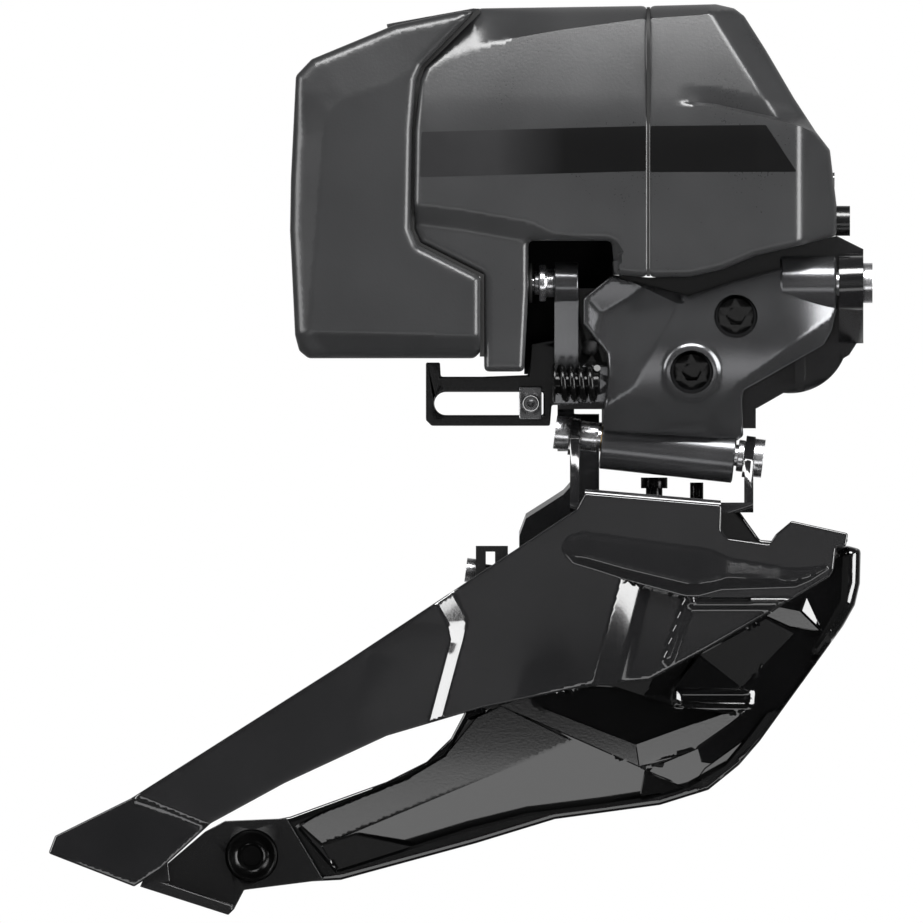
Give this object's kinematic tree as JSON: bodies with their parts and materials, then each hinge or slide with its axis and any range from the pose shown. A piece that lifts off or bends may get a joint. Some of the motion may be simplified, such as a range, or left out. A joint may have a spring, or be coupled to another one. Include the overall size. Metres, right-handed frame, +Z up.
{
  "type": "front derailleur",
  "caption": "Wireless motor-driven front derailleur: housing with clip-on battery, four-pivot linkage and a two-plate chain cage.",
  "frame": {"origin": "middle of the M5 mounting thread on the mounting face", "axes": "+X to the front of the bicycle, +Y inboard out of the mounting thread, +Z up"},
  "size_m": [0.0989, 0.03, 0.1093],
  "materials": {
    "housing": "satin moulded, graphite",
    "stripe": "gloss black",
    "seal": "matt black",
    "contact_carrier": "matt",
    "gold": "gold plated",
    "board": "solder mask",
    "motor": "satin",
    "gear": "matt",
    "steel": "satin",
    "chrome": "polished",
    "bush": "satin",
    "lens": "clear",
    "black_metal": "gloss black",
    "graphite_metal": "satin anodised graphite",
    "plate": "polished black",
    "black_screw": "black oxide",
    "tail": "gloss black",
    "battery": "satin moulded, graphite",
    "cell": "foil"
  },
  "bodies": {
    "main": {"rear_shell": "housing", "front_shell": "housing", "seam_gasket": "seal", "stripe_rear": "stripe", "stripe_front": "stripe", "contact_block": "contact_carrier", "contact_pins": "gold", "circuit_board": "board", "motor_can": "motor", "gear_frame": "gear", "gear_pins": "steel", "output_bush": "bush", "shaft_seal": "seal", "status_lens": "lens", "button_spring": "steel", "latch_pin": "steel", "chassis": "black_metal", "chassis_screws": "steel", "front_pivot_pin": "chrome", "inner_pivot_pin": "steel", "support_bracket": "black_metal", "bracket_screw": "steel"},
    "outer_arm": {"output_shaft": "steel", "output_collar": "chrome", "drive_arm": "graphite_metal", "arm_screw": "steel", "clutch_spring": "black_screw", "outer_link": "graphite_metal", "link_bushes": "bush"},
    "inner_arm": {"inner_link": "graphite_metal", "inner_link_bush": "bush"},
    "cage": {"cage_yoke": "black_metal", "cage_pivot_pin": "chrome", "pivot_rings": "chrome", "yoke_screw": "black_screw", "yoke_post": "black_screw", "cage_outer_plate": "plate", "cage_inner_plate": "plate", "inner_pivot_bracket": "black_metal", "lower_inner_pin": "chrome", "tail_block": "tail", "tail_screw": "black_screw", "tail_nut": "steel"},
    "high_screw": {"high_limit_screw": "black_screw"},
    "low_screw": {"low_limit_screw": "black_screw"},
    "motor_rotor": {"motor_shaft": "steel"},
    "gear_first": {"gear_one": "gear"},
    "gear_second": {"gear_two": "gear"},
    "slider": {"slider_block": "steel"},
    "brace_screw": {"support_screw": "steel"},
    "battery": {"battery_case": "battery", "battery_face": "contact_carrier", "battery_cells": "cell", "battery_pads": "gold"},
    "latch": {"battery_latch": "housing"},
    "button": {"function_button": "tail"}
  },
  "joints": [
    {"name": "link_swing", "type": "hinge", "parent": "main", "child": "outer_arm", "pos_m": [-0.015, -0.016, 0.00624], "axis": [-1, 0, 0], "range_deg": [0, 24]},
    {"name": "cage_tilt", "type": "hinge", "parent": "outer_arm", "child": "cage", "pos_m": [-0.015, -0.0117, -0.01334], "axis": [-0.9919, 0, 0.1271], "range_deg": [-24, 0]},
    {"name": "inner_link_swing", "type": "hinge", "parent": "main", "child": "inner_arm", "pos_m": [-0.0242, -0.002, -0.01166], "axis": [-1, 0, 0], "range_deg": [0, 24]},
    {"name": "high_limit_turn", "type": "hinge", "parent": "outer_arm", "child": "high_screw", "pos_m": [-0.0065, -0.01722, 0.00245], "axis": [0, -0.9767, -0.2145], "range_deg": [-360, 360]},
    {"name": "low_limit_turn", "type": "hinge", "parent": "outer_arm", "child": "low_screw", "pos_m": [-0.0118, -0.01574, -0.00425], "axis": [0, -0.9767, -0.2145], "range_deg": [-360, 360]},
    {"name": "motor_spin", "type": "hinge", "parent": "main", "child": "motor_rotor", "pos_m": [-0.02, -0.01024, 0.02743], "axis": [-1, 0, 0], "range_deg": [-300, 0]},
    {"name": "gear_one_spin", "type": "hinge", "parent": "main", "child": "gear_first", "pos_m": [-0.034, -0.00954, 0.01936], "axis": [-1, 0, 0], "range_deg": [0, 116]},
    {"name": "gear_two_spin", "type": "hinge", "parent": "main", "child": "gear_second", "pos_m": [-0.034, -0.01446, 0.0135], "axis": [-1, 0, 0], "range_deg": [-49, 0]},
    {"name": "slider_travel", "type": "slide", "parent": "main", "child": "slider", "axis": [-1, 0, 0], "range_m": [0, 0.0084]},
    {"name": "brace_screw_turn", "type": "hinge", "parent": "slider", "child": "brace_screw", "pos_m": [-0.0311, 0, -0.00822], "axis": [0, 1, 0], "range_deg": [-360, 360]},
    {"name": "battery_pull", "type": "slide", "parent": "main", "child": "battery", "axis": [-1, 0, 0], "range_m": [0, 0.03]},
    {"name": "latch_open", "type": "hinge", "parent": "main", "child": "latch", "pos_m": [-0.0362, -0.008, 0.0381], "axis": [0, 1, 0], "range_deg": [0, 60]},
    {"name": "button_press", "type": "slide", "parent": "main", "child": "button", "axis": [-1, 0, 0], "range_m": [0, 0.0007], "stiffness_N_per_m": 800, "deforming": ["button_spring"]}
  ],
  "couplings": [
    {"joint": "cage_tilt", "follows": "link_swing", "ratio": -1},
    {"joint": "inner_link_swing", "follows": "link_swing", "ratio": 1},
    {"joint": "gear_two_spin", "follows": "link_swing", "ratio": -2},
    {"joint": "gear_one_spin", "follows": "link_swing", "ratio": 4.8},
    {"joint": "motor_spin", "follows": "link_swing", "ratio": -12.48}
  ]
}
